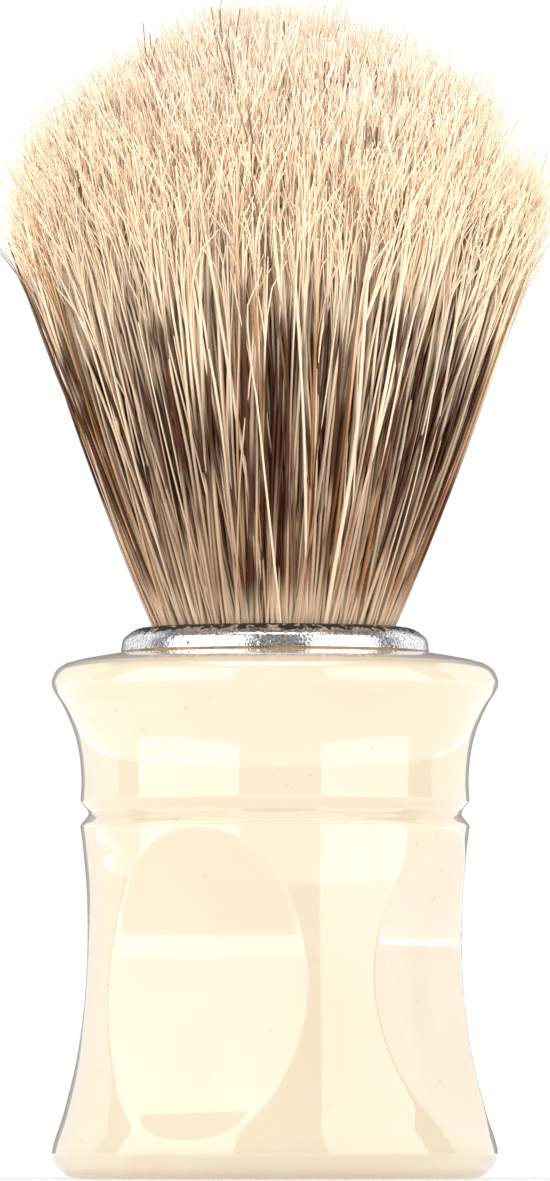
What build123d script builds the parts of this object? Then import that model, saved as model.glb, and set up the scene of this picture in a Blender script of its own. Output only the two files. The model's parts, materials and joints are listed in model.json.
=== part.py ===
from build123d import *
from math import sqrt
import os

# Shaving brush: turned resin handle, aluminium ferrule ring, fan-shaped bristle knot.
# Millimetres. Origin at the centre of the foot, +Z up along the brush, -Y to the front.

# --- handle ---
foot_flat_radius = 18.0        # rim of the flat the brush stands on
foot_radius = 20.0             # widest part of the foot
foot_bulge_height = 2.5
waist_radius = 16.92
waist_height = 25.0
groove_wall_radius = 17.5      # of the handle where the V groove is cut
groove_height = 32.85          # middle of the groove
groove_width = 2.2
groove_depth = 0.75
groove_floor_half = 0.3        # half the height of its rounded floor
groove_edge_fillet = 0.2
neck_radius = 17.4
neck_height = 35.9
lip_radius = 20.07
lip_height = 44.6
handle_height = 47.2

# --- finger dimples, each one cut by a level cylinder ---
dimple_count = 4
dimple_azimuth = -24.5         # of the front dimple, from the front towards +X
dimple_floor_radius = 14.15    # nearest the dimple comes to the axis
dimple_middle = 18.87
dimple_curve_radius = 24.15
dimple_rim_fillet = 0.35

# --- socket, ring and what holds the knot ---
socket_radius = 12.8
socket_depth = 13.0
ring_radius = 13.86
ring_top = 49.5
ring_shoulder_height = 48.1
ring_mouth_radius = 11.65
ring_mouth_bevel = 0.2
ring_sleeve_radius = 12.5
ring_sleeve_length = 7.0
bedding_thickness = 0.2
bedding_inset = 0.12
spacer_thickness = 0.7
cup_fit = 0.1                  # between cup and sleeve
cup_wall = 0.8
cup_overlap = 5.2              # height of the cup inside the sleeve
twine_radius = 0.32
twine_turns = 3
root_rise = 0.3                # of the root resin above the twine

# --- ballast ---
ballast_radius = 9.0
ballast_length = 17.0
ballast_chamfer = 0.5
pocket_clearance = 0.15
plug_radius = 11.5
plug_thickness = 3.0
plug_recess = 0.3
plug_chamfer = 0.25

# --- bristle knot ---
knot_mouth_radius = 11.3       # of the bundle where it leaves the ring
knot_spread = 0.44             # how fast the bundle widens with height
knot_curl = 0.002              # how fast that widening slows down
shoulder_height = 79.5         # where the side starts to round over into the dome
dome_start = 84.0
dome_radius = 24.05
dome_rise = 21.3
dome_steps = 4
layer_gap = 0.06
layer_limits = {"hair_core": 0.32, "hair_inner": 0.56, "hair_middle": 0.79, "hair_outer": 1.0}

# --- derived places ---
groove_low = groove_height - groove_width / 2
groove_high = groove_height + groove_width / 2
groove_floor_radius = groove_wall_radius - groove_depth
groove_corner_radius = groove_floor_radius + 0.12
plug_top = plug_recess + plug_thickness
ballast_top = plug_top + ballast_length
socket_floor = handle_height - socket_depth
collar_floor = handle_height + bedding_thickness
sleeve_end = handle_height - ring_sleeve_length
cup_floor = socket_floor + spacer_thickness
cup_rim = sleeve_end + cup_overlap
cup_radius = ring_mouth_radius - cup_fit
root_radius = cup_radius - cup_wall
root_floor = cup_floor + cup_wall
root_top = cup_rim + 2 * twine_radius * twine_turns + root_rise

os.makedirs("parts", exist_ok=True)


def save(piece, name):
    piece.part.label = name
    export_step(piece.part, f"parts/{name}.step")


# --- handle: turned outline, groove, dimples, socket above, ballast pocket below ---
with BuildPart() as handle_body:
    with BuildSketch(Plane.XZ):
        with BuildLine():
            Line((0, 0), (foot_flat_radius, 0))
            Spline(
                (foot_flat_radius, 0),
                (foot_radius - 0.6, 0.85),
                (foot_radius, foot_bulge_height),
                tangents=[(1, 0), (0, 1)],
            )
            Spline(
                (foot_radius, foot_bulge_height),
                (18.9, 6.2),
                (17.88, 10.8),
                (waist_radius, waist_height),
                (groove_wall_radius, groove_low),
                tangents=[(0, 1), (0.16, 1)],
            )
            Line((groove_wall_radius, groove_low), (groove_wall_radius, groove_high))
            Spline(
                (groove_wall_radius, groove_high),
                (neck_radius, neck_height),
                (18.1, 40.3),
                (19.45, 43.2),
                (lip_radius, lip_height),
                tangents=[(-0.08, 1), (0, 1)],
            )
            Spline(
                (lip_radius, lip_height),
                (19.45, 45.9),
                (17.6, 46.62),
                (ring_radius + 0.3, handle_height),
                tangents=[(0, 1), (-1, 0.14)],
            )
            Polyline((ring_radius + 0.3, handle_height), (0, handle_height), (0, 0))
        make_face()
    revolve(axis=Axis.Z)
    with BuildSketch(Plane.XZ):
        with BuildLine():
            corner_low = (groove_corner_radius, groove_height - groove_floor_half)
            corner_high = (groove_corner_radius, groove_height + groove_floor_half)
            edge_low = (groove_wall_radius, groove_low)
            edge_high = (groove_wall_radius, groove_high)
            Polyline(edge_low, corner_low)
            ThreePointArc(corner_low, (groove_floor_radius, groove_height), corner_high)
            Polyline(corner_high, edge_high, edge_low)
        make_face()
    revolve(axis=Axis.Z, mode=Mode.SUBTRACT)
    groove_edges = handle_body.edges().filter_by(GeomType.CIRCLE)
    fillet(
        groove_edges.filter_by_position(Axis.Z, groove_low - 0.01, groove_low + 0.01)
        + groove_edges.filter_by_position(Axis.Z, groove_high - 0.01, groove_high + 0.01),
        groove_edge_fillet,
    )
    with PolarLocations(dimple_floor_radius + dimple_curve_radius, dimple_count, dimple_azimuth - 90):
        with Locations((0, 0, dimple_middle)):
            Cylinder(dimple_curve_radius, 3 * foot_radius, rotation=(90, 0, 0), mode=Mode.SUBTRACT)
    fillet(handle_body.faces().filter_by(GeomType.CYLINDER).edges(), dimple_rim_fillet)
    with Locations((0, 0, handle_height)):
        Hole(socket_radius, socket_depth)
    with BuildSketch(Plane.XY):
        Circle(plug_radius)
    extrude(amount=plug_top, mode=Mode.SUBTRACT)
    with BuildSketch(Plane.XY):
        Circle(ballast_radius + pocket_clearance)
    extrude(amount=ballast_top, mode=Mode.SUBTRACT)
save(handle_body, "handle_body")

# --- steel weight in the foot, and the disc that closes its pocket ---
with BuildPart() as ballast_slug:
    with BuildSketch(Plane.XY.offset(plug_top)):
        Circle(ballast_radius)
    extrude(amount=ballast_length)
    chamfer(ballast_slug.edges().filter_by(GeomType.CIRCLE), ballast_chamfer)
save(ballast_slug, "ballast_slug")

with BuildPart() as base_plug:
    with BuildSketch(Plane.XY.offset(plug_recess)):
        Circle(plug_radius)
    extrude(amount=plug_thickness)
    chamfer(base_plug.faces().sort_by(Axis.Z)[0].edges(), plug_chamfer)
save(base_plug, "base_plug")

# --- what fills the socket: shim, cup, resin, twine and glue ---
with BuildPart() as spacer_disc:
    with BuildSketch(Plane.XY.offset(socket_floor)):
        Circle(socket_radius)
    extrude(amount=spacer_thickness)
save(spacer_disc, "spacer_disc")

with BuildPart() as knot_cup:
    with BuildSketch(Plane.XY.offset(cup_floor)):
        Circle(cup_radius)
    extrude(amount=cup_rim - cup_floor)
    with BuildSketch(Plane.XY.offset(root_floor)):
        Circle(root_radius)
    extrude(amount=cup_rim - root_floor, mode=Mode.SUBTRACT)
save(knot_cup, "knot_cup")

with BuildPart() as root_plug:
    with BuildSketch(Plane.XY.offset(root_floor)):
        Circle(root_radius)
    extrude(amount=root_top - root_floor)
save(root_plug, "root_plug")

with BuildPart() as binding_twine:
    for turn in range(twine_turns):
        with Locations((0, 0, cup_rim + twine_radius * (2 * turn + 1))):
            Torus(root_radius + twine_radius, twine_radius)
save(binding_twine, "binding_twine")

with BuildPart() as socket_glue:
    with BuildSketch(Plane.XZ):
        with BuildLine():
            Polyline(
                (cup_radius, cup_floor),
                (socket_radius, cup_floor),
                (socket_radius, handle_height),
                (ring_sleeve_radius, handle_height),
                (ring_sleeve_radius, sleeve_end),
                (cup_radius, sleeve_end),
                close=True,
            )
        make_face()
    revolve(axis=Axis.Z)
save(socket_glue, "socket_glue")

# --- ferrule ring: a sleeve in the socket under a collar with a rounded shoulder ---
with BuildPart() as ferrule_ring:
    with BuildSketch(Plane.XZ):
        with BuildLine():
            Polyline(
                (ring_sleeve_radius, collar_floor),
                (ring_radius, collar_floor),
                (ring_radius - 0.1, ring_shoulder_height),
            )
            Spline(
                (ring_radius - 0.1, ring_shoulder_height),
                (13.3, 48.85),
                (ring_mouth_radius + ring_mouth_bevel, ring_top),
                tangents=[(-0.08, 1), (-1, 0.1)],
            )
            Polyline(
                (ring_mouth_radius + ring_mouth_bevel, ring_top),
                (ring_mouth_radius, ring_top - ring_mouth_bevel),
                (ring_mouth_radius, sleeve_end),
                (ring_sleeve_radius, sleeve_end),
                (ring_sleeve_radius, collar_floor),
            )
        make_face()
    revolve(axis=Axis.Z)
save(ferrule_ring, "ferrule_ring")

with BuildPart() as ring_bedding:
    with BuildSketch(Plane.XY.offset(handle_height)):
        Circle(ring_radius - bedding_inset)
        Circle(ring_sleeve_radius, mode=Mode.SUBTRACT)
    extrude(amount=bedding_thickness)
save(ring_bedding, "ring_bedding")

# --- bristle knot: nested layers of a fan, all ending on the same dome ---
def knot_radius(height):
    above = height - ring_top
    return knot_mouth_radius + knot_spread * above - knot_curl * above**2


def dome_height(radius):
    return dome_start + dome_rise * sqrt(1 - (radius / dome_radius) ** 2)


def dome_points(outer, inner):
    radii = [outer + (inner - outer) * step / dome_steps for step in range(dome_steps + 1)]
    return [(radius, dome_height(radius)) for radius in radii]


def fan_top(share):
    height = dome_start
    for _ in range(40):
        height = dome_height(share * knot_radius(height))
    return height


def fan_line(share, foot, top):
    heights = [foot, (foot + top) / 2, top]
    return [(share * knot_radius(height), height) for height in heights]


inner_share = 0
for name, share in layer_limits.items():
    gap = layer_gap / knot_mouth_radius if inner_share else 0
    near = inner_share + gap
    near_top = fan_top(near)
    near_radius = near * knot_radius(near_top)
    far_top = shoulder_height if share == 1 else fan_top(share)
    far_radius = share * knot_radius(far_top)
    with BuildPart() as layer:
        with BuildSketch(Plane.XZ):
            with BuildLine():
                ThreePointArc(*fan_line(share, root_top, far_top))
                if share == 1:
                    Spline(
                        (far_radius, far_top),
                        (dome_radius, dome_start),
                        tangents=[(knot_spread, 1), (0, 1)],
                    )
                    far_radius = dome_radius
                Spline(*dome_points(far_radius, near_radius))
                if inner_share:
                    ThreePointArc(*fan_line(near, near_top, root_top))
                else:
                    Line((0, near_top), (0, root_top))
                Line((near * knot_radius(root_top), root_top), (share * knot_radius(root_top), root_top))
            make_face()
        revolve(axis=Axis.Z)
    save(layer, name)
    inner_share = share
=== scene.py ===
import json
import math
import bmesh
import bpy
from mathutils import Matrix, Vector

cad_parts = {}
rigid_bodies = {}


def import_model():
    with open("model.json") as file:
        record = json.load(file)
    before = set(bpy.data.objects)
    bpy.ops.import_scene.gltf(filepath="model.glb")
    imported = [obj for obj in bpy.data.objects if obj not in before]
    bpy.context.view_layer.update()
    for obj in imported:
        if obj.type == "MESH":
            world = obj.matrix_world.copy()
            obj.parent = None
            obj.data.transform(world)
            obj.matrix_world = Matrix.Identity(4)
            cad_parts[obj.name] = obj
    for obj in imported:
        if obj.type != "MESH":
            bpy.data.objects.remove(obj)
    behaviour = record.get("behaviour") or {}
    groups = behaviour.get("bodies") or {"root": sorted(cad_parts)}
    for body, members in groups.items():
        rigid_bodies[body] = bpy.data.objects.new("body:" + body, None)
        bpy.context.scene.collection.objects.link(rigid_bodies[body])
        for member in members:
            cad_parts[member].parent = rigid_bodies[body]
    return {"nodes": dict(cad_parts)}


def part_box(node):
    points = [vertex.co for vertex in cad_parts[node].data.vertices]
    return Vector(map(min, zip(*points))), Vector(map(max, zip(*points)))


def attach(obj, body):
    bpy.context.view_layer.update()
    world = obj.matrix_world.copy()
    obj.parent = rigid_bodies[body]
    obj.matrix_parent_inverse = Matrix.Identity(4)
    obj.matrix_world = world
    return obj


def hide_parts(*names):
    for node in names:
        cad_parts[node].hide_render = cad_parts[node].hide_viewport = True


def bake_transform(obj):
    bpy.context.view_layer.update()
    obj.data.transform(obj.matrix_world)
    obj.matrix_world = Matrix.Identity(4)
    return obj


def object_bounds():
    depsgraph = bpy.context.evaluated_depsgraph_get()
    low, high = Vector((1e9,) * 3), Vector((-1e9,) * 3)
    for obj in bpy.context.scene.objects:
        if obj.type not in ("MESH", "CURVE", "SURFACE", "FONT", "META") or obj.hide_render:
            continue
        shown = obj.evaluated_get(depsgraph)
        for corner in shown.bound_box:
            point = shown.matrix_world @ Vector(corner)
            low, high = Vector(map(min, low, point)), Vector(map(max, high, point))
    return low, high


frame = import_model()
cadLow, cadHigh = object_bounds()
mm = 0.001
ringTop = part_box("ferrule_ring")[1].z
print("frame loaded:", len(frame["nodes"]), "nodes")


def setInput(tree, socket, value):
    if isinstance(value, bpy.types.NodeSocket):
        tree.links.new(value, socket)
    else:
        socket.default_value = value


def liveSocket(sockets, name):
    return next(s for s in sockets if s.name == name and s.enabled)


def addNode(tree, kind, inputs=None, **settings):
    node = tree.nodes.new(kind)
    for key, value in settings.items():
        setattr(node, key, value)
    for name, value in (inputs or {}).items():
        setInput(tree, liveSocket(node.inputs, name), value)
    return node


def calc(tree, operation, *values):
    node = tree.nodes.new("ShaderNodeMath")
    node.operation = operation
    for socket, value in zip(node.inputs, values):
        setInput(tree, socket, value)
    return node.outputs[0]


def vectorCalc(tree, operation, first, second):
    node = tree.nodes.new("ShaderNodeVectorMath")
    node.operation = operation
    setInput(tree, node.inputs[0], first)
    setInput(tree, node.inputs["Scale"] if operation == "SCALE" else node.inputs[1], second)
    return node.outputs[0]


def vectorOf(tree, x, y, z):
    node = tree.nodes.new("ShaderNodeCombineXYZ")
    for socket, value in zip(node.inputs, (x, y, z)):
        setInput(tree, socket, value)
    return node.outputs[0]


def remap(tree, value, fromLow, fromHigh, toLow, toHigh, smooth=False):
    node = addNode(tree, "ShaderNodeMapRange", interpolation_type="SMOOTHSTEP" if smooth else "LINEAR")
    for socket, v in zip(node.inputs, (value, fromLow, fromHigh, toLow, toHigh)):
        setInput(tree, socket, v)
    return node.outputs[0]


def nodesToMesh(name, tree, inputs, source=None):
    carrier = bpy.data.objects.new(name + "Carrier", source or bpy.data.meshes.new(name + "Source"))
    bpy.context.scene.collection.objects.link(carrier)
    modifier = carrier.modifiers.new(name, "NODES")
    modifier.node_group = tree
    sockets = {s.name: s.identifier for s in tree.interface.items_tree if s.in_out == "INPUT"}
    for key, value in inputs.items():
        modifier[sockets[key]] = value
    graph = bpy.context.evaluated_depsgraph_get()
    mesh = bpy.data.meshes.new_from_object(carrier.evaluated_get(graph))
    carrier.modifiers.remove(modifier)
    bpy.data.objects.remove(carrier)
    mesh.name = name
    piece = bpy.data.objects.new(name, mesh)
    bpy.context.scene.collection.objects.link(piece)
    return piece


def newMaterial(name):
    material = bpy.data.materials.new(name)
    material.use_nodes = True
    tree = material.node_tree
    return material, tree, tree.nodes["Principled BSDF"]


def mixColour(tree, share, first, second):
    node = addNode(tree, "ShaderNodeMix", data_type="RGBA")
    setInput(tree, node.inputs[0], share)
    setInput(tree, node.inputs[6], first)
    setInput(tree, node.inputs[7], second)
    return node.outputs[2]


def colourPair(name, low, high, scale, roughness):
    material, tree, shader = newMaterial(name)
    place = addNode(tree, "ShaderNodeTexCoord").outputs["Object"]
    grain = addNode(tree, "ShaderNodeTexNoise", {"Vector": place, "Scale": scale, "Detail": 3.0})
    share = remap(tree, grain.outputs["Fac"], 0.35, 0.65, 0.0, 1.0, True)
    setInput(tree, shader.inputs["Base Color"], mixColour(tree, share, low, high))
    shader.inputs["Roughness"].default_value = roughness
    return material, tree, shader, grain.outputs["Fac"]


def givePaint(node, material):
    piece = frame["nodes"][node]
    piece.data.materials.clear()
    piece.data.materials.append(material)


def smoothPath(points, steps):    # a smooth curve through the points
    given = [Vector(point) for point in points]
    padded = [2 * given[0] - given[1]] + given + [2 * given[-1] - given[-2]]
    path = []
    for i in range(1, len(padded) - 2):
        a, b, c, d = padded[i - 1:i + 3]
        for k in range(steps):
            t = k / steps
            path.append(0.5 * ((2 * b) + (c - a) * t + (2 * a - 5 * b + 4 * c - d) * t**2
                               + (3 * b - a - 3 * c + d) * t**3))
    return path + [given[-1]]


def turned(name, outline, sides):
    mesh = bpy.data.meshes.new(name + "Outline")
    verts = [(r, 0, z) for r, z in outline]
    mesh.from_pydata(verts, [(i, i + 1) for i in range(len(verts) - 1)], [])
    carrier = bpy.data.objects.new(name + "Carrier", mesh)
    bpy.context.scene.collection.objects.link(carrier)
    lathe = carrier.modifiers.new("lathe", "SCREW")
    lathe.steps = lathe.render_steps = sides
    lathe.use_merge_vertices = True
    lathe.merge_threshold = 1e-6
    lathe.use_smooth_shade = True
    graph = bpy.context.evaluated_depsgraph_get()
    mesh = bpy.data.meshes.new_from_object(carrier.evaluated_get(graph))
    carrier.modifiers.remove(lathe)
    bpy.data.objects.remove(carrier)
    shape = bmesh.new()
    shape.from_mesh(mesh)
    bmesh.ops.remove_doubles(shape, verts=shape.verts, dist=1e-7)
    bmesh.ops.recalc_face_normals(shape, faces=shape.faces)
    shape.to_mesh(mesh)
    shape.free()
    return mesh


handleLook = {                    # outline runs are (radius, height) in millimetres
    "pocket": [(0, 20.45), (9.15, 20.45), (9.15, 3.3), (11.5, 3.3), (11.5, 0.3), (11.6, 0.03), (11.9, 0),
               (17.4, 0)],
    "footCorner": [(17.4, 0), (18.5, 0.2), (19.4, 0.85), (19.9, 1.7), (20.0, 2.5), (19.75, 3.6)],
    "waist": [(19.75, 3.6), (18.9, 6.2), (17.88, 10.8), (17.25, 17.5), (16.92, 25.0), (17.2, 29.2),
              (17.47, 31.5)],
    "grooveLow": [(17.47, 31.5), (17.5, 31.65), (17.42, 31.85), (17.3, 32.0)],
    "grooveFloor": [(17.3, 32.0), (16.87, 32.52), (16.76, 32.85), (16.87, 33.18)],
    "grooveHigh": [(16.87, 33.18), (17.3, 33.7), (17.42, 33.85), (17.47, 34.05), (17.46, 34.3)],
    "neck": [(17.46, 34.3), (17.4, 35.9), (17.6, 38.2), (18.1, 40.3), (19.0, 42.4), (19.8, 43.7)],
    "lip": [(19.8, 43.7), (20.05, 44.3), (20.03, 44.9), (19.6, 45.75), (18.8, 46.3)],
    "shoulder": [(18.8, 46.3), (17.4, 46.66), (15.0, 47.08), (14.1, 47.2), (13.0, 47.2)],
    "socket": [(13.0, 47.2), (12.8, 47.0), (12.8, 34.2), (0, 34.2)],
    "runs": ("pocket", "footCorner", "waist", "grooveLow", "grooveFloor", "grooveHigh", "neck", "lip",
             "shoulder", "socket"),
    "straight": ("pocket", "socket"),     # the other runs are smooth curves
    "steps": 6,
    "waistSteps": 18,
    "sides": 300,
    "dimpleAzimuth": -24.5,
    "dimpleCount": 4,
    "dimpleFloor": 14.15 * mm,
    "dimpleMiddle": 18.87 * mm,
    "dimpleCurve": 24.15 * mm,
    "rimSoftness": 0.22 * mm,
    "base": (0.825, 0.715, 0.54, 1),
    "cloud": (0.80, 0.675, 0.49, 1),
    "cloudScale": 60.0,
    "speck": (0.55, 0.38, 0.22, 1),
    "speckScale": 900.0,
    "rippleScale": 240.0,
    "rippleDepth": 0.02 * mm,
    "roughness": 0.07,
    "polishRoughness": 0.03,
    "refraction": 1.55,
}


def ivoryMaterial(look):
    material, tree, shader = newMaterial("ivoryResin")
    place = addNode(tree, "ShaderNodeTexCoord").outputs["Object"]
    cloud = addNode(tree, "ShaderNodeTexNoise",
                    {"Vector": place, "Scale": look["cloudScale"], "Detail": 4.0, "Distortion": 0.8})
    share = remap(tree, cloud.outputs["Fac"], 0.35, 0.7, 0.0, 1.0, True)
    body = mixColour(tree, share, look["base"], look["cloud"])
    speck = addNode(tree, "ShaderNodeTexNoise", {"Vector": place, "Scale": look["speckScale"], "Detail": 1.0})
    speck = remap(tree, speck.outputs["Fac"], 0.74, 0.8, 0.0, 0.35, True)
    setInput(tree, shader.inputs["Base Color"], mixColour(tree, speck, body, look["speck"]))
    ripple = addNode(tree, "ShaderNodeTexNoise",
                     {"Vector": place, "Scale": look["rippleScale"], "Detail": 1.0})
    bump = addNode(tree, "ShaderNodeBump",
                   {"Strength": 0.25, "Distance": look["rippleDepth"], "Height": ripple.outputs["Fac"]})
    setInput(tree, shader.inputs["Normal"], bump.outputs[0])
    shader.inputs["Roughness"].default_value = look["roughness"]
    shader.inputs["IOR"].default_value = look["refraction"]
    shader.inputs["Coat Weight"].default_value = 1.0
    shader.inputs["Coat Roughness"].default_value = look["polishRoughness"]
    return material


def dimpleTree(look, material):
    tree = bpy.data.node_groups.new("fingerDimples", "GeometryNodeTree")
    face = tree.interface
    face.new_socket("Geometry", in_out="INPUT", socket_type="NodeSocketGeometry")
    face.new_socket("Geometry", in_out="OUTPUT", socket_type="NodeSocketGeometry")
    numbers = {"Count": float(look["dimpleCount"]), "Azimuth": math.radians(look["dimpleAzimuth"] - 90),
               "Floor": look["dimpleFloor"], "Middle": look["dimpleMiddle"], "Curve": look["dimpleCurve"],
               "Softness": look["rimSoftness"]}
    for name, value in numbers.items():
        face.new_socket(name, in_out="INPUT", socket_type="NodeSocketFloat").default_value = value
    given = tree.nodes.new("NodeGroupInput").outputs
    out = tree.nodes.new("NodeGroupOutput")
    position = addNode(tree, "GeometryNodeInputPosition").outputs[0]
    x, y, z = addNode(tree, "ShaderNodeSeparateXYZ", {"Vector": position}).outputs
    radius = calc(tree, "SQRT", calc(tree, "ADD", calc(tree, "MULTIPLY", x, x), calc(tree, "MULTIPLY", y, y)))
    step = calc(tree, "DIVIDE", math.tau, given["Count"])
    turn = calc(tree, "SUBTRACT", calc(tree, "ARCTAN2", y, x), given["Azimuth"])
    half = calc(tree, "MULTIPLY", step, 0.5)
    off = calc(tree, "WRAP", turn, half, calc(tree, "MULTIPLY", half, -1.0))
    up = calc(tree, "SUBTRACT", z, given["Middle"])       # each dimple is cut by a level cylinder
    curve = given["Curve"]
    inside = calc(tree, "SUBTRACT", calc(tree, "MULTIPLY", curve, curve), calc(tree, "MULTIPLY", up, up))
    reach = calc(tree, "SQRT", calc(tree, "MAXIMUM", inside, 0.0))
    cutter = calc(tree, "SUBTRACT", calc(tree, "ADD", given["Floor"], curve), reach)
    cutter = calc(tree, "DIVIDE", cutter, calc(tree, "COSINE", off))
    pressed = calc(tree, "SMOOTH_MIN", radius, cutter, given["Softness"])
    scale = calc(tree, "DIVIDE", pressed, calc(tree, "MAXIMUM", radius, 1e-6))
    moved = vectorOf(tree, calc(tree, "MULTIPLY", x, scale), calc(tree, "MULTIPLY", y, scale), z)
    skin = addNode(tree, "GeometryNodeSetPosition", {"Geometry": given["Geometry"], "Position": moved})
    real = addNode(tree, "GeometryNodeRealizeInstances", {"Geometry": skin.outputs[0]})
    painted = addNode(tree, "GeometryNodeSetMaterial", {"Geometry": real.outputs[0]})
    painted.inputs["Material"].default_value = material
    tree.links.new(painted.outputs[0], out.inputs[0])
    return tree


def buildHandle(look, material):
    outline = []
    for part in look["runs"]:
        steps = look["waistSteps"] if part == "waist" else look["steps"]
        run = look[part] if part in look["straight"] else smoothPath(look[part], steps)
        outline += [(radius * mm, height * mm) for radius, height in (run[1:] if outline else run)]
    mesh = turned("handle", outline, look["sides"])
    return nodesToMesh("handleTurned", dimpleTree(look, material), {}, mesh)


ivory = ivoryMaterial(handleLook)
handle = buildHandle(handleLook, ivory)
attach(handle, "handle")
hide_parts("handle_body")
givePaint("base_plug", ivory)
print("handle:", len(handle.data.polygons), "faces")


ringLook = {
    "bright": (0.95, 0.95, 0.96, 1),
    "dull": (0.5, 0.5, 0.51, 1),
    # dark specks on the metal; crowded along the top edge they are a painted reflection of the dark bristles
    "darkSpeckReflection": (0.012, 0.011, 0.01, 1),
    "dentScale": 1700.0,
    "grainScale": 4200.0,
    "wearScale": 260.0,
    "dentDepth": 0.1 * mm,
    "grainDepth": 0.03 * mm,
    "darkReflectionDrop": 1.1 * mm,         # how far down from the top the dark specks of painted bristle reflection reach
    "darkReflectionCrowding": 0.36,
    "roughness": 0.12,
    "darkSpeckReflectionRoughness": 0.8,
}


def ringMaterial(look):
    material, tree, shader = newMaterial("dentedAluminium")
    place = addNode(tree, "ShaderNodeTexCoord").outputs["Object"]
    height = addNode(tree, "ShaderNodeSeparateXYZ", {"Vector": place}).outputs[2]
    dents = addNode(tree, "ShaderNodeTexNoise", {"Vector": place, "Scale": look["dentScale"], "Detail": 2.0})
    grain = addNode(tree, "ShaderNodeTexNoise", {"Vector": place, "Scale": look["grainScale"], "Detail": 2.0})
    zones = addNode(tree, "ShaderNodeTexNoise", {"Vector": place, "Scale": look["wearScale"], "Detail": 2.0})
    worn = remap(tree, zones.outputs["Fac"], 0.48, 0.62, 0.12, 1.0, True)
    deep = addNode(tree, "ShaderNodeBump",
                   {"Strength": worn, "Distance": look["dentDepth"], "Height": dents.outputs["Fac"]})
    fine = addNode(tree, "ShaderNodeBump", {"Strength": 1.0, "Distance": look["grainDepth"],
                                            "Height": grain.outputs["Fac"], "Normal": deep.outputs[0]})
    setInput(tree, shader.inputs["Normal"], fine.outputs[0])
    clean = remap(tree, grain.outputs["Fac"], 0.36, 0.56, 0.0, 1.0, True)
    colour = mixColour(tree, clean, look["dull"], look["bright"])
    # painted reflection: dark, dull specks crowd towards the ring's top edge, where the dark bristles are
    # reflected
    upper = remap(tree, height, ringTop - look["darkReflectionDrop"], ringTop - 0.1 * look["darkReflectionDrop"], 0.0, 1.0, True)
    speck = calc(tree, "MULTIPLY_ADD", upper, look["darkReflectionCrowding"], dents.outputs["Fac"])
    speck = remap(tree, speck, 0.7, 0.78, 0.0, 1.0, True)
    setInput(tree, shader.inputs["Base Color"], mixColour(tree, speck, colour, look["darkSpeckReflection"]))
    roughness = remap(tree, speck, 0.0, 1.0, look["roughness"], look["darkSpeckReflectionRoughness"])
    setInput(tree, shader.inputs["Roughness"], roughness)
    setInput(tree, shader.inputs["Metallic"], remap(tree, speck, 0.0, 1.0, 1.0, 0.0))
    return material


givePaint("ferrule_ring", ringMaterial(ringLook))
print("ring painted")


hiddenLook = {                    # name, darker and lighter colour, grain scale, roughness, slot
    # ring_bedding: a thin amber line along the ring's lower edge
    "ring_bedding": ("amberRingEdgeLine", (0.36, 0.17, 0.04, 1), (0.66, 0.38, 0.13, 1), 500.0, 0.25,
                     "amber_adhesive"),
    "socket_glue": ("amberGlue", (0.33, 0.16, 0.04, 1), (0.58, 0.33, 0.11, 1), 350.0, 0.3,
                    "amber_adhesive"),
    "ballast_slug": ("turnedSteel", (0.36, 0.36, 0.37, 1), (0.52, 0.52, 0.53, 1), 900.0, 0.35,
                     "ballast_steel"),
    "spacer_disc": ("fibreBoard", (0.22, 0.14, 0.08, 1), (0.34, 0.23, 0.14, 1), 1200.0, 0.8, "fibre_board"),
    "knot_cup": ("cupPlastic", (0.62, 0.57, 0.48, 1), (0.68, 0.63, 0.54, 1), 300.0, 0.45, "cup_plastic"),
    "root_plug": ("rootResin", (0.20, 0.11, 0.05, 1), (0.30, 0.18, 0.09, 1), 420.0, 0.35, "root_resin"),
    "binding_twine": ("waxedTwine", (0.50, 0.40, 0.26, 1), (0.66, 0.55, 0.38, 1), 1600.0, 0.7,
                      "waxed_twine"),
}
hiddenGrain = {"strength": 0.4, "depth": 0.05 * mm}
for node, (name, low, high, scale, roughness, slot) in hiddenLook.items():
    material, tree, shader, grain = colourPair(name, low, high, scale, roughness)
    bump = addNode(tree, "ShaderNodeBump", {"Strength": hiddenGrain["strength"],
                                            "Distance": hiddenGrain["depth"], "Height": grain})
    setInput(tree, shader.inputs["Normal"], bump.outputs[0])
    shader.inputs["Metallic"].default_value = 1.0 if node == "ballast_slug" else 0.0
    givePaint(node, material)
print("inner parts painted:", len(hiddenLook))


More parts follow.
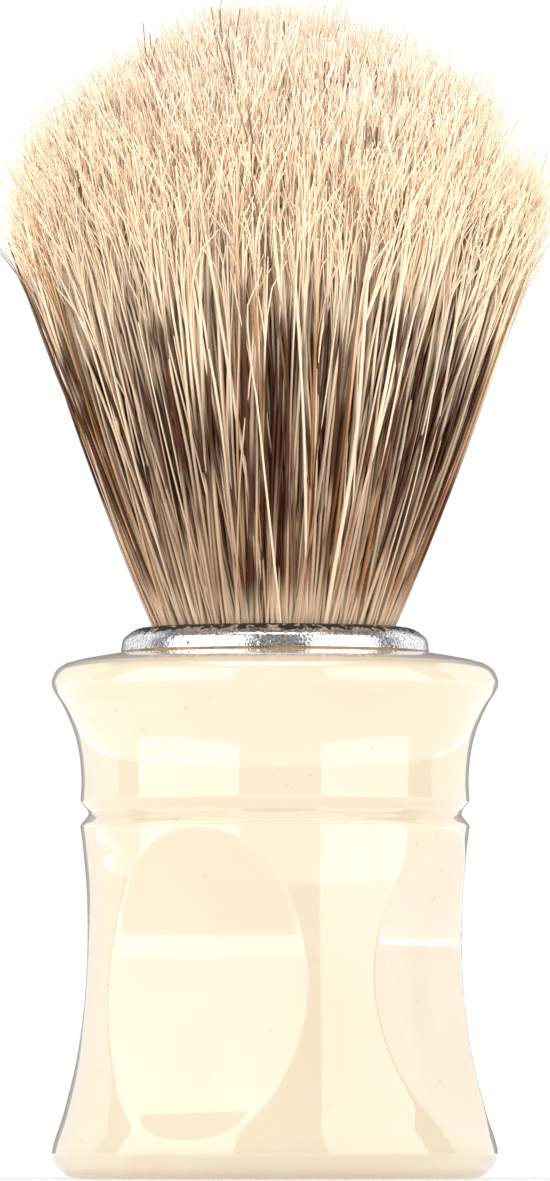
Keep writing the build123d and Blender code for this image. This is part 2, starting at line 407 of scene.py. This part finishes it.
bristleLook = {
    "seed": 11,
    "count": 11000,               # bristles in the whole knot
    "mouthRadius": 11.3 * mm,
    "spread": 0.44,               # widening per height
    "curl": 2.0,                  # how fast the widening slows, per metre
    "domeStart": 84 * mm,
    "thickness": 0.157 * mm,      # radius near the root
    "splitThickness": 0.09 * mm,  # radius of a split end
    "splits": 3,                  # split ends on each bristle
    "splitStart": 0.8,            # where along the bristle they leave it
    "splitSpread": 1.4 * mm,
    "splitKey": 50000.0,          # keeps the split ends' chances apart from the bristles'
    "uneven": 5.0 * mm,           # how much shorter the shortest ones are
    "rootShift": 2.0 * mm,        # how far roots are from their fan line
    "lean": 3.0 * mm,
    "stray": 7 * mm,
    "strayShare": 0.05,
    "bend": 1.5,                  # power by which leaning grows along a bristle
    "wave": 0.65 * mm,
    "clump": 0.5,                 # how far tips gather into locks
    "clumpBend": 2.5,
    "clumpScale": 520.0,
    "tuft": 1.4 * mm,             # how far neighbours drift together
    "tuftFlow": 0.35,             # how fast that drift changes along a bristle
    "tuftScale": 480.0,
    "hold": 0.92,                 # how firmly strays are combed back to the outline
    "tipHold": 0.15,              # share of that hold left at the tips
    "holdFrom": 70 * mm,
    "holdTo": 92 * mm,
    "edgeDepth": 0.9 * mm,        # unevenness of the combed outline
    "patchScale": 190.0,
    "crowding": 2.6,              # 2 is even, more crowds the bristles outwards
    "points": 13,
    "splitPoints": 5,
    "seedStep": 97,               # between the pieces of one layer
    "bendZone": 30 * mm,
}
knotLow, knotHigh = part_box("hair_outer")
knotBase = knotLow.z
domeRadius = knotHigh.x
domeRise = cadHigh.z - bristleLook["domeStart"]


def bristleTree(look, material):
    tree = bpy.data.node_groups.new("bristles", "GeometryNodeTree")
    face = tree.interface
    numbers = {
        "Thickness": look["thickness"], "Split Thickness": look["splitThickness"],
        "Inner Share": 0.0, "Outer Share": 1.0, "Mouth Radius": look["mouthRadius"],
        "Spread": look["spread"], "Curl": look["curl"], "Base": knotBase, "Ring Top": ringTop,
        "Dome Start": look["domeStart"], "Dome Radius": domeRadius, "Dome Rise": domeRise,
        "Uneven": look["uneven"], "Root Shift": look["rootShift"], "Lean": look["lean"],
        "Stray": look["stray"], "Stray Share": look["strayShare"], "Wave": look["wave"], "Tuft": look["tuft"],
        "Tuft Scale": look["tuftScale"], "Clump": look["clump"], "Clump Scale": look["clumpScale"],
        "Hold": look["hold"], "Split Start": look["splitStart"], "Split Spread": look["splitSpread"],
    }
    counts = {"Count": 100, "Seed": look["seed"], "Sides": 4, "Points": look["points"],
              "Splits": look["splits"], "Split Points": look["splitPoints"]}
    face.new_socket("Geometry", in_out="INPUT", socket_type="NodeSocketGeometry")
    face.new_socket("Geometry", in_out="OUTPUT", socket_type="NodeSocketGeometry")
    for name, value in counts.items():
        face.new_socket(name, in_out="INPUT", socket_type="NodeSocketInt").default_value = value
    for name, value in numbers.items():
        face.new_socket(name, in_out="INPUT", socket_type="NodeSocketFloat").default_value = value
    given = tree.nodes.new("NodeGroupInput").outputs
    out = tree.nodes.new("NodeGroupOutput")

    def chance(strand, offset, low=0.0, high=1.0):        # each offset is a draw of its own
        seed = calc(tree, "ADD", given["Seed"], float(offset))
        node = addNode(tree, "FunctionNodeRandomValue", data_type="FLOAT")
        setInput(tree, liveSocket(node.inputs, "Min"), low)
        setInput(tree, liveSocket(node.inputs, "Max"), high)
        setInput(tree, liveSocket(node.inputs, "ID"), strand)
        setInput(tree, liveSocket(node.inputs, "Seed"), seed)
        return liveSocket(node.outputs, "Value")

    def direction(strand, offset):
        turn = chance(strand, offset, 0.0, math.tau)
        return vectorOf(tree, calc(tree, "COSINE", turn), calc(tree, "SINE", turn), 0.0)

    def fan(above):                                       # outer radius at a height above the ring
        bent = calc(tree, "MULTIPLY", calc(tree, "MULTIPLY", above, above), given["Curl"])
        wide = calc(tree, "MULTIPLY_ADD", above, given["Spread"], given["Mouth Radius"])
        return calc(tree, "SUBTRACT", wide, bent)

    def place(strand, along):
        inner = calc(tree, "POWER", given["Inner Share"], look["crowding"])
        outer = calc(tree, "POWER", given["Outer Share"], look["crowding"])
        share = calc(tree, "POWER", chance(strand, 0, inner, outer), 1 / look["crowding"])
        turn = chance(strand, 1, 0.0, math.tau)
        dip = calc(tree, "SQRT", calc(tree, "SUBTRACT", 1.0, calc(tree, "MULTIPLY", share, share)))
        tip = calc(tree, "MULTIPLY_ADD", dip, given["Dome Rise"], given["Dome Start"])
        tipAbove = calc(tree, "SUBTRACT", tip, given["Ring Top"])
        tipRadius = calc(tree, "MULTIPLY", share, given["Dome Radius"])
        scale = calc(tree, "DIVIDE", tipRadius, fan(tipAbove))
        short = calc(tree, "MULTIPLY", calc(tree, "POWER", chance(strand, 2), 2.0), given["Uneven"])
        end = calc(tree, "SUBTRACT", tip, short)
        length = calc(tree, "SUBTRACT", end, given["Base"])
        height = calc(tree, "MULTIPLY_ADD", along, length, given["Base"])
        radius = calc(tree, "MULTIPLY", scale, fan(calc(tree, "SUBTRACT", height, given["Ring Top"])))
        cosine, sine = calc(tree, "COSINE", turn), calc(tree, "SINE", turn)
        away = vectorOf(tree, cosine, sine, 0.0)
        line = vectorCalc(tree, "SCALE", away, radius)
        line = vectorCalc(tree, "ADD", line, vectorOf(tree, 0.0, 0.0, height))
        root = vectorOf(tree, calc(tree, "MULTIPLY", scale, cosine), calc(tree, "MULTIPLY", scale, sine),
                        calc(tree, "MULTIPLY", along, look["tuftFlow"]))
        root = vectorCalc(tree, "SCALE", root, given["Mouth Radius"])     # neighbours share tufts
        noise = addNode(tree, "ShaderNodeTexNoise",
                        {"Vector": root, "Scale": given["Tuft Scale"], "Detail": 1.0})
        drift = vectorCalc(tree, "SUBTRACT", noise.outputs["Color"], (0.5, 0.5, 0.5))
        grow = calc(tree, "POWER", along, look["bend"])
        drift = vectorCalc(tree, "SCALE", drift, calc(tree, "MULTIPLY", grow, given["Tuft"]))
        flatRoot = vectorCalc(tree, "MULTIPLY", root, (1.0, 1.0, 0.0))
        cells = addNode(tree, "ShaderNodeTexVoronoi", {"Vector": flatRoot, "Scale": given["Clump Scale"]})
        lock = vectorCalc(tree, "SUBTRACT", cells.outputs["Position"], flatRoot)
        pull = calc(tree, "MULTIPLY", calc(tree, "POWER", along, look["clumpBend"]), given["Clump"])
        pull = calc(tree, "MULTIPLY", pull, calc(tree, "DIVIDE", given["Dome Radius"], given["Mouth Radius"]))
        drift = vectorCalc(tree, "ADD", drift, vectorCalc(tree, "SCALE", lock, pull))
        strays = calc(tree, "LESS_THAN", chance(strand, 3), given["Stray Share"])
        reach = calc(tree, "MULTIPLY_ADD", strays, given["Stray"], given["Lean"])
        reach = calc(tree, "MULTIPLY", reach, grow)
        back = calc(tree, "MULTIPLY", calc(tree, "SUBTRACT", 1.0, along), given["Root Shift"])
        phase = chance(strand, 7, 0.0, math.tau)
        swing = calc(tree, "MULTIPLY_ADD", along, chance(strand, 6, 3.0, 11.0), phase)
        wave = calc(tree, "MULTIPLY", along, given["Wave"])
        swing = calc(tree, "MULTIPLY", calc(tree, "SINE", swing), wave)
        sideways = calc(tree, "MULTIPLY", reach, chance(strand, 4, -1.0, 1.0))
        sideways = calc(tree, "MULTIPLY_ADD", back, chance(strand, 16, -1.0, 1.0), sideways)
        sideways = calc(tree, "MULTIPLY_ADD", swing, chance(strand, 8, -1.0, 1.0), sideways)
        outwards = calc(tree, "MULTIPLY", reach, chance(strand, 5, -0.6, 0.1))
        outwards = calc(tree, "MULTIPLY_ADD", back, chance(strand, 17, -1.0, 0.0), outwards)
        outwards = calc(tree, "MULTIPLY_ADD", swing, chance(strand, 18, -0.6, 0.6), outwards)
        across = vectorOf(tree, calc(tree, "MULTIPLY", sine, -1.0), cosine, 0.0)
        moved = vectorCalc(tree, "ADD", line, drift)
        moved = vectorCalc(tree, "ADD", moved, vectorCalc(tree, "SCALE", across, sideways))
        moved = vectorCalc(tree, "ADD", moved, vectorCalc(tree, "SCALE", away, outwards))
        return moved, height

    def combed(position, strand):
        x, y, z = addNode(tree, "ShaderNodeSeparateXYZ", {"Vector": position}).outputs
        flat = calc(tree, "ADD", calc(tree, "MULTIPLY", x, x), calc(tree, "MULTIPLY", y, y))
        flat = calc(tree, "SQRT", flat)
        rise = calc(tree, "DIVIDE", calc(tree, "SUBTRACT", z, given["Dome Start"]), given["Dome Rise"])
        rise = calc(tree, "MINIMUM", calc(tree, "MAXIMUM", rise, 0.0), 0.98)
        dome = calc(tree, "SQRT", calc(tree, "SUBTRACT", 1.0, calc(tree, "MULTIPLY", rise, rise)))
        dome = calc(tree, "MULTIPLY", dome, given["Dome Radius"])
        limit = calc(tree, "MINIMUM", dome, fan(calc(tree, "SUBTRACT", z, given["Ring Top"])))
        limit = calc(tree, "SUBTRACT", limit, chance(strand, 20, 0.0, look["edgeDepth"]))
        over = calc(tree, "MAXIMUM", calc(tree, "SUBTRACT", flat, limit), 0.0)
        firm = remap(tree, z, look["holdFrom"], look["holdTo"], 1.0, look["tipHold"], True)
        firm = calc(tree, "MULTIPLY", firm, given["Hold"])
        kept = calc(tree, "SUBTRACT", flat, calc(tree, "MULTIPLY", over, firm))
        scale = calc(tree, "DIVIDE", kept, calc(tree, "MAXIMUM", flat, 1e-6))
        return vectorOf(tree, calc(tree, "MULTIPLY", x, scale), calc(tree, "MULTIPLY", y, scale), z)

    def strandLines(count, points):
        line = addNode(tree, "GeometryNodeCurvePrimitiveLine")
        line = addNode(tree, "GeometryNodeResampleCurve", {"Curve": line.outputs[0], "Count": points})
        dots = addNode(tree, "GeometryNodePoints", {"Count": count})
        lines = addNode(tree, "GeometryNodeInstanceOnPoints",
                        {"Points": dots.outputs[0], "Instance": line.outputs[0]})
        return addNode(tree, "GeometryNodeRealizeInstances", {"Geometry": lines.outputs[0]}).outputs[0]

    def named(geometry, name, value):
        node = addNode(tree, "GeometryNodeStoreNamedAttribute", data_type="FLOAT", domain="POINT")
        setInput(tree, node.inputs["Geometry"], geometry)
        node.inputs["Name"].default_value = name
        setInput(tree, liveSocket(node.inputs, "Value"), value)
        return node.outputs[0]

    def tubes(lines, position, height, tone, thickness, sides):
        patch = addNode(tree, "ShaderNodeTexNoise",
                        {"Vector": position, "Scale": look["patchScale"], "Detail": 1.0})
        lines = named(lines, "bristleHeight", height)
        lines = named(lines, "bristleTone", tone)
        lines = named(lines, "bristlePatch", patch.outputs["Fac"])
        lines = addNode(tree, "GeometryNodeSetPosition", {"Geometry": lines, "Position": position}).outputs[0]
        ring = addNode(tree, "GeometryNodeCurvePrimitiveCircle", {"Resolution": sides, "Radius": 1.0})
        return addNode(tree, "GeometryNodeCurveToMesh",
                       {"Curve": lines, "Profile Curve": ring.outputs[0], "Scale": thickness,
                        "Fill Caps": True}).outputs[0]

    index = addNode(tree, "GeometryNodeCurveOfPoint").outputs
    spot = index["Index in Curve"]

    lines = strandLines(given["Count"], given["Points"])          # shafts
    u = calc(tree, "DIVIDE", spot, calc(tree, "SUBTRACT", given["Points"], 1.0))
    strand = index["Curve Index"]
    position, height = place(strand, u)
    plump = chance(strand, 9, 0.5, 1.45)
    taper = calc(tree, "MULTIPLY", remap(tree, u, 0.0, 1.0, 1.0, 0.75), remap(tree, u, 0.82, 1.0, 1.0, 0.45))
    thickness = calc(tree, "MULTIPLY", calc(tree, "MULTIPLY", taper, plump), given["Thickness"])
    shafts = tubes(lines, combed(position, strand), height, chance(strand, 10), thickness, given["Sides"])

    total = calc(tree, "MULTIPLY", given["Count"], given["Splits"])
    lines = strandLines(total, given["Split Points"])             # split ends
    strand = calc(tree, "FLOOR", calc(tree, "DIVIDE", index["Curve Index"], given["Splits"]))
    own = calc(tree, "ADD", index["Curve Index"], look["splitKey"])
    u = calc(tree, "DIVIDE", spot, calc(tree, "SUBTRACT", given["Split Points"], 1.0))
    start = calc(tree, "SUBTRACT", given["Split Start"], chance(own, 11, 0.0, 0.1))
    room = calc(tree, "SUBTRACT", chance(own, 12, 0.96, 1.02), start)
    along = calc(tree, "MULTIPLY_ADD", u, room, start)
    position, height = place(strand, along)
    fray = calc(tree, "MULTIPLY", calc(tree, "POWER", u, 1.4), given["Split Spread"])
    fray = calc(tree, "MULTIPLY", fray, chance(own, 13, 0.2, 1.3))
    curlUp = calc(tree, "MULTIPLY", calc(tree, "POWER", u, 6.0), given["Split Spread"])
    position = vectorCalc(tree, "ADD", position, vectorCalc(tree, "SCALE", direction(own, 14), fray))
    position = vectorCalc(tree, "ADD", position, vectorCalc(tree, "SCALE", direction(own, 15), curlUp))
    taper = calc(tree, "MULTIPLY", remap(tree, u, 0.5, 1.0, 1.0, 0.5), chance(own, 19, 0.5, 1.4))
    thickness = calc(tree, "MULTIPLY", taper, given["Split Thickness"])
    ends = tubes(lines, combed(position, strand), height, chance(strand, 10), thickness, 3)

    joined = tree.nodes.new("GeometryNodeJoinGeometry")
    tree.links.new(shafts, joined.inputs[0])
    tree.links.new(ends, joined.inputs[0])
    smooth = addNode(tree, "GeometryNodeSetShadeSmooth", {"Geometry": joined.outputs[0]})
    real = addNode(tree, "GeometryNodeRealizeInstances", {"Geometry": smooth.outputs[0]})
    painted = addNode(tree, "GeometryNodeSetMaterial", {"Geometry": real.outputs[0]})
    painted.inputs["Material"].default_value = material
    tree.links.new(painted.outputs[0], out.inputs[0])
    return tree


paintLook = {
    "root": (0.52, 0.345, 0.22, 1),
    "middle": (0.93, 0.745, 0.54, 1),
    "tip": (0.955, 0.825, 0.685, 1),
    "rootHeight": 52 * mm,
    "middleHeight": 84 * mm,
    "tipHeight": 106 * mm,
    "band": (0.072, 0.023, 0.011, 1),
    "bandMiddle": 64.3 * mm,
    "bandHalf": 15.5 * mm,
    "bandShift": 6 * mm,          # from one bristle to the next
    "patchShift": 26 * mm,        # from one part of the knot to another
    "pale": (0.87, 0.69, 0.50, 1),
    "paleShare": 0.16,            # bristles without a dark band
    "amber": (0.60, 0.29, 0.10, 1),
    "amberShare": 0.07,
    "loneShare": 0.012,           # bristles dark from end to end
    "paintedLightAboveRing": 4 * mm,           # painted light: a paler zone just above the ring, lightened against the ring's shade
    "shade": 0.85,
    "roughness": 0.45,
    "refraction": 1.5,
    "sheen": 0.14,
}


def bristleMaterial(look):
    material, tree, shader = newMaterial("bristle")
    height = addNode(tree, "ShaderNodeAttribute", attribute_name="bristleHeight").outputs["Fac"]
    tone = addNode(tree, "ShaderNodeAttribute", attribute_name="bristleTone").outputs["Fac"]
    patch = addNode(tree, "ShaderNodeAttribute", attribute_name="bristlePatch").outputs["Fac"]
    second = calc(tree, "FRACT", calc(tree, "MULTIPLY", tone, 17.31))     # further chances out of one
    third = calc(tree, "FRACT", calc(tree, "MULTIPLY", tone, 61.7))
    fourth = calc(tree, "FRACT", calc(tree, "MULTIPLY", tone, 113.3))
    lower = remap(tree, height, look["rootHeight"], look["middleHeight"], 0.0, 1.0, True)
    upper = remap(tree, height, look["middleHeight"], look["tipHeight"], 0.0, 1.0, True)
    plain = mixColour(tree, upper, mixColour(tree, lower, look["root"], look["middle"]), look["tip"])
    shift = remap(tree, second, 0.0, 1.0, -look["bandShift"], look["bandShift"])
    shift = calc(tree, "MULTIPLY_ADD", calc(tree, "SUBTRACT", patch, 0.5), look["patchShift"], shift)
    centre = calc(tree, "ADD", shift, look["bandMiddle"])
    away = calc(tree, "ABSOLUTE", calc(tree, "SUBTRACT", height, centre))
    band = remap(tree, away, 0.2 * look["bandHalf"], look["bandHalf"], 1.0, 0.0, True)
    dark = remap(tree, tone, 0.1, 0.36, 0.0, 1.0, True)
    banded = mixColour(tree, calc(tree, "MULTIPLY", band, dark), plain, look["band"])
    amber = calc(tree, "MULTIPLY", calc(tree, "GREATER_THAN", third, 1 - look["amberShare"]), 0.5)
    banded = mixColour(tree, amber, banded, look["amber"])
    pale = calc(tree, "MULTIPLY", calc(tree, "LESS_THAN", third, look["paleShare"]), 0.8)
    banded = mixColour(tree, pale, banded, look["pale"])
    lone = calc(tree, "MULTIPLY", calc(tree, "GREATER_THAN", third, 1 - look["loneShare"]), 0.8)
    banded = mixColour(tree, lone, banded, look["band"])
    # painted light: the bristles just above the ring are mixed towards the pale colour to offset the ring's
    # shade there
    ringShadeLift = remap(tree, height, ringTop, ringTop + look["paintedLightAboveRing"], 0.55, 0.0, True)
    banded = mixColour(tree, ringShadeLift, banded, look["pale"])
    shade = remap(tree, fourth, 0.0, 1.0, look["shade"], 1.0)
    setInput(tree, shader.inputs["Base Color"], vectorCalc(tree, "SCALE", banded, shade))
    shader.inputs["Roughness"].default_value = look["roughness"]
    shader.inputs["IOR"].default_value = look["refraction"]
    shader.inputs["Specular IOR Level"].default_value = look["sheen"]
    return material


tree = bristleTree(bristleLook, bristleMaterial(paintLook))
layers = {"hair_core": 1, "hair_inner": 3, "hair_middle": 4, "hair_outer": 4}     # pieces in each layer
innerShare = 0.0
bristlePieces = []
for node, parts in layers.items():
    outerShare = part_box(node)[1].x / domeRadius
    share = outerShare ** bristleLook["crowding"] - innerShare ** bristleLook["crowding"]
    for part in range(parts):
        name = node.replace("hair_", "bristles_") + (f"_{part + 1}" if parts > 1 else "")
        inputs = {"Count": int(bristleLook["count"] * share / parts),
                  "Seed": bristleLook["seed"] + bristleLook["seedStep"] * part,
                  "Sides": 4 if node == "hair_outer" else 3,
                  "Inner Share": innerShare, "Outer Share": outerShare}
        piece = nodesToMesh(name, tree, inputs)
        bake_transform(piece)
        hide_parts(node)
        bristlePieces.append(piece)
        print(name, len(piece.data.polygons), "faces")
    innerShare = outerShare


floorLook = {
    "radius": 0.4,
    "corners": 96,
    "drop": 0.05 * mm,            # keeps the floor off the foot's flat
    "paper": (0.8, 0.8, 0.8, 1),
    "roughness": 0.8,
    "glowReach": (0.05, 0.25),    # the paper glows more from here to there
    "glow": (0.38, 0.7),
}
floorShape = bmesh.new()
bmesh.ops.create_circle(floorShape, cap_ends=True, segments=floorLook["corners"], radius=floorLook["radius"])
bmesh.ops.translate(floorShape, verts=floorShape.verts, vec=(0, 0, -floorLook["drop"]))
floorMesh = bpy.data.meshes.new("floor")
floorShape.to_mesh(floorMesh)
floorShape.free()
floor = bpy.data.objects.new("floor", floorMesh)
bpy.context.scene.collection.objects.link(floor)
floorMaterial, floorTree, floorShader = newMaterial("paleFloor")
floorShader.inputs["Base Color"].default_value = floorLook["paper"]
floorShader.inputs["Roughness"].default_value = floorLook["roughness"]
floorPlace = addNode(floorTree, "ShaderNodeTexCoord").outputs["Object"]
floorReach = addNode(floorTree, "ShaderNodeVectorMath", operation="LENGTH")
setInput(floorTree, floorReach.inputs[0], floorPlace)
floorShader.inputs["Emission Color"].default_value = (1, 1, 1, 1)
glow = remap(floorTree, floorReach.outputs["Value"], *floorLook["glowReach"], *floorLook["glow"])
setInput(floorTree, floorShader.inputs["Emission Strength"], glow)
floorMesh.materials.append(floorMaterial)

roomLook = {"fill": 0.3, "backdrop": 1.0}
world = bpy.data.worlds.new("studio")
world.use_nodes = True
sky = world.node_tree
ray = addNode(sky, "ShaderNodeLightPath").outputs["Is Camera Ray"]
strength = remap(sky, ray, 0.0, 1.0, roomLook["fill"], roomLook["backdrop"])
setInput(sky, sky.nodes["Background"].inputs["Strength"], strength)
sky.nodes["Background"].inputs["Color"].default_value = (1, 1, 1, 1)
bpy.context.scene.world = world

lightLook = {                     # azimuth and tilt in degrees, the rest in metres; glow is the brightness
    "left": {"azimuth": -52, "tilt": 0, "distance": 0.12, "middle": 0.083,
             "size": (0.15, 0.166), "glow": 1.65},
    "right": {"azimuth": 53.5, "tilt": 0, "distance": 0.12, "middle": 0.083,
              "size": (0.126, 0.166), "glow": 1.6},
    "leftBack": {"azimuth": -130, "tilt": 0, "distance": 0.3, "middle": 0.15,
                 "size": (0.28, 0.3), "glow": 0.62},
    "rightBack": {"azimuth": 130, "tilt": 0, "distance": 0.3, "middle": 0.15,
                  "size": (0.28, 0.3), "glow": 0.75},
    "hair": {"azimuth": 0, "tilt": -40, "distance": 0.22, "middle": 0.25,
             "size": (0.26, 0.2), "glow": 5.4},
    "hairBack": {"azimuth": 180, "tilt": -45, "distance": 0.22, "middle": 0.3,
                 "size": (0.26, 0.2), "glow": 1.8},
    "hairTop": {"azimuth": 0, "tilt": -90, "distance": 0, "middle": 0.6,
                "size": (0.12, 0.12), "glow": 32},
    "top": {"azimuth": 0, "tilt": -83, "distance": 0.1, "middle": 0.8,
            "size": (0.6, 0.6), "glow": 3.2},
}
bristlesOnly = bpy.data.collections.new("bristlesOnly")
objectOnly = bpy.data.collections.new("objectOnly")
for piece in bpy.context.scene.objects:
    if piece.type == "MESH" and piece != floor:
        objectOnly.objects.link(piece)
for piece in bristlePieces:
    bristlesOnly.objects.link(piece)
litOnly = {"hair": bristlesOnly, "hairBack": bristlesOnly, "hairTop": bristlesOnly,
           "left": objectOnly, "right": objectOnly, "leftBack": objectOnly, "rightBack": objectOnly}
for name, look in lightLook.items():
    lamp = bpy.data.lights.new(name + "Softbox", "AREA")
    lamp.shape = "RECTANGLE"
    lamp.size, lamp.size_y = look["size"]
    lamp.energy = look["glow"] * math.pi * lamp.size * lamp.size_y
    holder = bpy.data.objects.new(name + "Softbox", lamp)
    turn = math.radians(look["azimuth"])
    holder.location = (math.sin(turn) * look["distance"], -math.cos(turn) * look["distance"], look["middle"])
    holder.rotation_euler = (math.radians(90 + look["tilt"]), 0, turn)
    holder.visible_camera = False
    holder.light_linking.receiver_collection = litOnly.get(name)
    bpy.context.scene.collection.objects.link(holder)
print("studio lit by", len(lightLook), "softboxes")

cameraLook = {
    "distance": 1.17,
    "height": 4 * mm,
    "middle": 52.9 * mm,          # height that the camera looks at
    "seen": 106.29 * mm,          # what the frame takes in there
    "film": 36,
}
camera = bpy.data.objects.new("camera", bpy.data.cameras.new("camera"))
bpy.context.scene.collection.objects.link(camera)
camera.location = (0, -cameraLook["distance"], cameraLook["height"])
aim = Vector((0, 0, cameraLook["middle"])) - camera.location
camera.rotation_euler = aim.to_track_quat("-Z", "Y").to_euler()
camera.data.sensor_width = cameraLook["film"]
camera.data.lens = cameraLook["film"] * aim.length / cameraLook["seen"]
bpy.context.scene.camera = camera
bpy.context.scene.view_settings.view_transform = "Standard"
